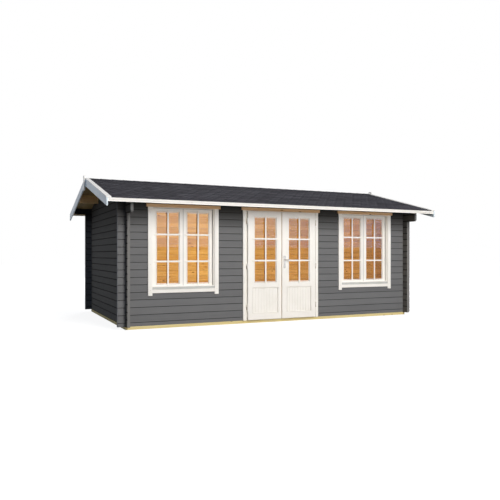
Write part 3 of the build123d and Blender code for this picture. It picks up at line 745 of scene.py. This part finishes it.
bar_width = 0.029
bar_height = 0.029
bar_past = 0.032          # how far a bar runs on over the sash or leaf
bar_proud = 0.011         # how far it stands out from that face
bar_gap = 0.0005
window_inner_bar = 0.028
bar_edge = 0.003
moulding = 0.010
bead_joint = 0.006
bead_gap = 0.0003
seal_width = 0.0075
seal_proud = 0.0016
seal_gap = 0.0002
seal_edge = 0.0005
weather_bar = 0.042       # height of the drip moulding along the foot of the frame
weather_bar_thick = 0.009
casing_board = 0.070
casing_gap = 0.001
apron_top = 0.633
half_meeting = 0.062      # one stile and half of the gap between the sashes
window_bar_z = (1.094, 1.540)


def crossed_bars(x, z, y, bars_z, past=0.0):
    """One upright and several level glazing bars over a pane, halved together where they cross."""
    middle = (x[0] + x[1]) / 2
    left, right = middle - bar_width / 2, middle + bar_width / 2
    bars = [((left, right), y, (z[0] - past, z[1] + past))]
    for at in bars_z:
        level = (at - bar_height / 2, at + bar_height / 2)
        bars += [((x[0] - past, left), y, level), ((right, x[1] + past), y, level)]
    return bars


def bead_ring(x, z, y):
    """Four glazing beads a fine joint inside an opening, the uprights running through."""
    x = (x[0] + bead_joint, x[1] - bead_joint)
    z = (z[0] + bead_joint, z[1] - bead_joint)
    inner = (x[0] + moulding, x[1] - moulding)
    uprights = [((x[0], x[0] + moulding), y, z), ((x[1] - moulding, x[1]), y, z)]
    return uprights + [(inner, y, (z[0], z[0] + moulding)), (inner, y, (z[1] - moulding, z[1]))]


def fit_bars(side, name, spans, material, body):
    """Fit small timbers with eased edges to the window or the leaf of one side."""
    fit(f"{side}_{name}", [timbers(name, spans, bar_edge)], material, body)


for side in ("left", "right"):
    glass_low, glass_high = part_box(f"{side}_window_glass")
    sash_low, sash_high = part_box(f"{side}_window_sashes")
    centre = (glass_low[0] + glass_high[0]) / 2
    sash_wide = (sash_high[0] - sash_low[0] - 3 * seal_width) / 2
    # A flap seal laps over the joint round each sash and between the two; its grey is partly painted shade of
    # that joint.
    y = (sash_low[1] - seal_proud, sash_low[1] - seal_gap)
    z = (sash_low[2], sash_high[2])
    top = (z[1] - seal_width, z[1])
    upright_seals = (sash_low[0], sash_high[0] - seal_width, centre - seal_width / 2)
    seals = [((x, x + seal_width), y, z) for x in upright_seals]
    level_seals = (sash_low[0] + seal_width, centre + seal_width / 2)
    seals += [((x, x + sash_wide), y, top) for x in level_seals]
    seals = timbers("window_seals", seals, seal_edge)
    fit(f"{side}_window_seals", [seals], seal_rubber_and_painted_shade, "cabin")
    bars, inner_bars, beads = [], [], []
    outer = (sash_low[1] - bar_proud, sash_low[1] - bar_gap)
    inner = (glass_high[1] + bar_gap, glass_high[1] + window_inner_bar)
    z = (glass_low[2], glass_high[2])
    for x in ((glass_low[0], centre - half_meeting), (centre + half_meeting, glass_high[0])):
        bars += crossed_bars(x, z, outer, window_bar_z, bar_past)
        inner_bars += crossed_bars(x, z, inner, window_bar_z)
        beads += bead_ring(x, z, (glass_low[1] - moulding, glass_low[1] - bead_gap))
    fit_bars(side, "window_beads", beads, white_upright, "cabin")
    casing_low, casing_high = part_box(f"{side}_window_casing")
    x = (casing_low[0] + casing_board + casing_gap, casing_high[0] - casing_board - casing_gap)
    y = (casing_high[1] - weather_bar_thick, casing_high[1] - bead_gap)
    drips = [(x, y, (apron_top + bead_gap, apron_top + weather_bar))]
    fit_bars(side, "window_weather_bars", drips, drip_painted_shade, "cabin")
    fit_bars(side, "window_bars", bars, white_upright, "cabin")
    fit_bars(side, "window_inner_bars", inner_bars, bar_pine, "cabin")

# ------------------------------------------------------------------ doorway and leaves
# A white frame with a low sill, and two white leaves of stiles and rails, each with a glazed upper
# light, a lattice of bars, and a lower panel of narrow boards in a moulded edge.
finish_node("door_frame", white_upright)
finish_node("door_casing", white_upright)
for side in ("left", "right"):
    finish_node(f"{side}_door_frame", white_upright)
door_bar_z = (1.101, 1.486)
door_inner_bar = 0.018
panel_boards = 9
panel_groove = 0.0045
for side in ("left", "right"):
    leaf = f"{side}_leaf"
    glass_low, glass_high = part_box(f"{side}_door_glass")
    x = (glass_low[0], glass_high[0])
    z = (glass_low[2], glass_high[2])
    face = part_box(f"{side}_door_frame")[0][1]
    bars = crossed_bars(x, z, (face - bar_proud, face - bar_gap), door_bar_z, bar_past)
    inner_bars = crossed_bars(x, z, (glass_high[1] + bar_gap, glass_high[1] + door_inner_bar), door_bar_z)
    fit_bars(side, "door_bars", bars, white_upright, leaf)
    fit_bars(side, "door_inner_bars", inner_bars, bar_pine, leaf)

    panel_low, panel_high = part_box(f"{side}_door_panel")
    width = (panel_high[0] - panel_low[0]) / panel_boards
    thick = panel_high[1] - panel_low[1]
    g = panel_groove
    section = [(0, g), (g, 0), (width - g, 0), (width, g), (width, thick), (0, thick)]
    one_board = loft("panel_board", [
        [(panel_low[0] + a, panel_low[1] + b, at) for a, b in section] for at in (panel_low[2], panel_high[2])
    ])
    boards = lay(one_board, white_upright, panel_boards, (width, 0, 0))
    fit(f"{side}_door_panel_boards", [boards], white_upright, leaf, [f"{side}_door_panel"])
    beads = []
    for low, high in ((panel_low, panel_high), (glass_low, glass_high)):
        beads += bead_ring((low[0], high[0]), (low[2], high[2]), (low[1] - moulding, low[1] - bead_gap))
    fit_bars(side, "door_beads", beads, white_upright, leaf)

# A soft white seal on the meeting edge of the right leaf half fills the gap between the leaves.
meeting_seal_wide = 0.0042
meeting_seal_spans = (0.001, 0.010)       # depth behind the face of the leaf
leaf_low, leaf_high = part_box("right_door_frame")
x = (leaf_low[0] - meeting_seal_wide, leaf_low[0])
y = [leaf_low[1] + depth for depth in meeting_seal_spans]
meeting_seal = timbers("meeting_seal", [(x, y, (leaf_low[2], leaf_high[2]))], seal_edge)
fit("meeting_seal", [meeting_seal], white_upright, "right_leaf")

# ------------------------------------------------------------------ hinges
# Lift-off hinges pressed from zinc-plated steel: a knuckle on the leaf drops over a pin on the frame.
# The plating is matt and slightly mottled.


def metal(name, dark, pale, mottle_size, rough):
    """A metal finish with a mottle of that size, in metres."""
    material, tree = new_material(name)
    place = add(tree, "ShaderNodeTexCoord").outputs["Object"]
    mottle = add(tree, "ShaderNodeTexNoise", {"Vector": place, "Scale": 1 / mottle_size, "Detail": 3.0})
    tint = add(tree, "ShaderNodeValToRGB", {"Fac": mottle}, stops=((0.0, dark), (1.0, pale)))
    sheen = add(tree, "ShaderNodeMapRange", {"Value": mottle, "To Min": rough, "To Max": rough + 0.15})
    coat = add(tree, "ShaderNodeBsdfPrincipled", {"Base Color": tint, "Roughness": sheen, "Metallic": 1.0})
    add(tree, "ShaderNodeOutputMaterial", {"Surface": coat})
    return material


zinc = metal("zinc_plated_steel_pressed", "#C2B8A9", "#E0D7CA", 0.008, 0.45)
for node in ("left_door_hinges", "right_door_hinges", "hinge_pins"):
    finish_node(node, zinc)

# ------------------------------------------------------------------ handle plates and lever
# Long plates of brushed stainless steel with rounded ends on both faces of the right leaf, each with a
# keyhole and two screws. The lever is one cast piece with a round neck and a gently tapering grip.
brushed_steel = metal("stainless_steel_brushed", "#A79C8D", "#C4BAAC", 0.004, 0.45)
# The keyhole's black is painted shade for the dark hole into the lock.
keyhole_shade = metal("keyhole_painted_shade", "#101010", "#1C1C1C", 0.004, 0.5)
plate_low, plate_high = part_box("handle_plates")
lever_low, lever_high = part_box("door_lever")
leaf_front, leaf_back = (corner[1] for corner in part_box("right_door_frame"))
plate_centre = (plate_low[0] + plate_high[0]) / 2
plate_half = (plate_high[0] - plate_low[0]) / 2
plate_edge = 0.0015
plate_steps = 12
plate_screw_inset = 0.016
plate_screw_radius = 0.0038
plate_screw_height = 0.0012
rose_radius = 0.0150
rose_height = 0.0030
key_radius = 0.0045
key_slot_wide = 0.0036
key_slot_long = 0.013
key_relief = 0.0006       # a keyhole is drawn as a thin black inlay
key_edge = 0.0002
key_z = plate_low[2] + 0.072
lever_z = (lever_low[2] + lever_high[2]) / 2
neck_radius = (lever_high[2] - lever_low[2]) / 2
neck_bend = 0.016
neck_steps = 6
grip_narrower = 0.15      # how much narrower the neck gets in its bend


def plate_outline(inset):
    """The plate's outline as (x, z) points, round at both ends, drawn in by inset."""
    radius = plate_half - inset
    points = []
    for middle, start in ((plate_high[2] - plate_half, 0.0), (plate_low[2] + plate_half, math.pi)):
        for i in range(plate_steps + 1):
            turn = start + math.pi * i / plate_steps
            points.append((plate_centre + radius * math.cos(turn), middle + radius * math.sin(turn)))
    return points


def plate_on(face, outer):
    """A plate on the leaf's face, its outer edge rounded."""
    toward = 1 if outer > face else -1
    rings = [(face, 0.0), (outer - toward * plate_edge, 0.0), (outer, plate_edge)]
    return loft("handle_plate", [[(x, y, z) for x, z in plate_outline(inset)] for y, inset in rings])


def dome(name, x, y, z, radius, height):
    """A low round head that stands out along Y by height, which is negative towards the front."""
    sides = 10
    around = [2 * math.pi * i / sides for i in range(sides)]
    rings = []
    for turn in (0.0, 0.5, 0.9, 1.3, 1.5):
        at = y + height * math.sin(turn)
        wide = radius * math.cos(turn)
        rings.append([(x + wide * math.cos(a), at, z + wide * math.sin(a)) for a in around])
    return loft(name, rings)


plates, keyholes = [], []
for face, outer in ((leaf_front, plate_low[1]), (leaf_back, plate_high[1])):
    out = 1 if outer > face else -1
    plates.append(plate_on(face, outer))
    for z in (plate_low[2] + plate_screw_inset, plate_high[2] - plate_screw_inset):
        screw = (plate_centre, outer, z, plate_screw_radius, out * plate_screw_height)
        plates.append(dome("plate_screw", *screw))
    plates.append(dome("lever_rose", plate_centre, outer, lever_z, rose_radius, out * rose_height))
    keyholes.append(dome("keyhole", plate_centre, outer, key_z, key_radius, out * key_relief))
    x = (plate_centre - key_slot_wide / 2, plate_centre + key_slot_wide / 2)
    y = sorted((outer, outer + out * key_relief))
    keyholes.append(timbers("keyhole_slot", [(x, y, (key_z - key_slot_long, key_z))], key_edge))
fit("door_plates", plates, brushed_steel, "right_leaf", ["handle_plates"])
fit("door_keyholes", keyholes, keyhole_shade, "right_leaf")


def ellipse(centre, side, up, wide, tall):
    """Points of an ellipse about a centre, in the plane of two directions."""
    sides = 16
    turns = [2 * math.pi * i / sides for i in range(sides)]
    return [tuple(centre + side * wide * math.cos(t) + up * tall * math.sin(t)) for t in turns]


def lever_on(start_y, grip_y):
    """One lever: a neck along Y that bends into a grip along X."""
    along, upward = Vector((1, 0, 0)), Vector((0, 0, 1))
    out = Vector((0, 1 if grip_y > start_y else -1, 0))
    corner = Vector((plate_centre, grip_y, lever_z))
    rings = [ellipse(Vector((plate_centre, start_y, lever_z)), along, upward, neck_radius, neck_radius)]
    for i in range(neck_steps + 1):
        turn = math.pi / 2 * i / neck_steps
        at = corner + along * neck_bend * (1 - math.cos(turn)) - out * neck_bend * (1 - math.sin(turn))
        side = along * math.cos(turn) - out * math.sin(turn)
        wide = neck_radius * (1 - grip_narrower * i / neck_steps)
        rings.append(ellipse(at, side, upward, wide, neck_radius))
    grip_start = corner.x + neck_bend
    for share, wide, tall in ((0.5, 0.75, 0.95), (0.93, 0.62, 0.86), (0.98, 0.5, 0.7), (1.0, 0.25, 0.4)):
        at = Vector((grip_start + (lever_high[0] - grip_start) * share, corner.y, corner.z))
        rings.append(ellipse(at, -out, upward, neck_radius * wide, neck_radius * tall))
    return loft("lever", rings)


outside_lever = lever_on(plate_low[1], lever_low[1] + neck_radius)
inside_lever = lever_on(plate_high[1], lever_high[1] - neck_radius)
fit("lever_handles", [outside_lever, inside_lever], brushed_steel, "lever", ["door_lever"])

# ------------------------------------------------------------------ trim screws
# Small stainless screws with low round heads, which hold the eave boards and the casing boards.
screw_margin = 0.09
screw_radius = 0.0035
screw_height = 0.0008
door_board = 0.046
eave_screws = 11
casing_screws = 4


def screw_row(x, y, z, out, count, step):
    """Screw heads in a row, standing out along Y."""
    return lay(dome("trim_screw", x, y, z, screw_radius, out * screw_height), brushed_steel, count, step)


screws = []
for word, out in (("front", -1), ("rear", 1)):
    low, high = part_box(f"{word}_eave_board")
    step = (high[0] - low[0] - 2 * screw_margin) / (eave_screws - 1)
    face = low[1] if out < 0 else high[1]
    z = (low[2] + high[2]) / 2
    screws.append(screw_row(low[0] + screw_margin, face, z, out, eave_screws, (step, 0, 0)))
for word, board in (("left_window", casing_board), ("right_window", casing_board), ("door", door_board)):
    low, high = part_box(f"{word}_casing")
    step = (high[2] - low[2] - 2 * screw_margin) / (casing_screws - 1)
    for x in (low[0] + board / 2, high[0] - board / 2):
        screws.append(screw_row(x, low[1], low[2] + screw_margin, -1, casing_screws, (0, 0, step)))
fit("trim_screws", screws, brushed_steel, "cabin")
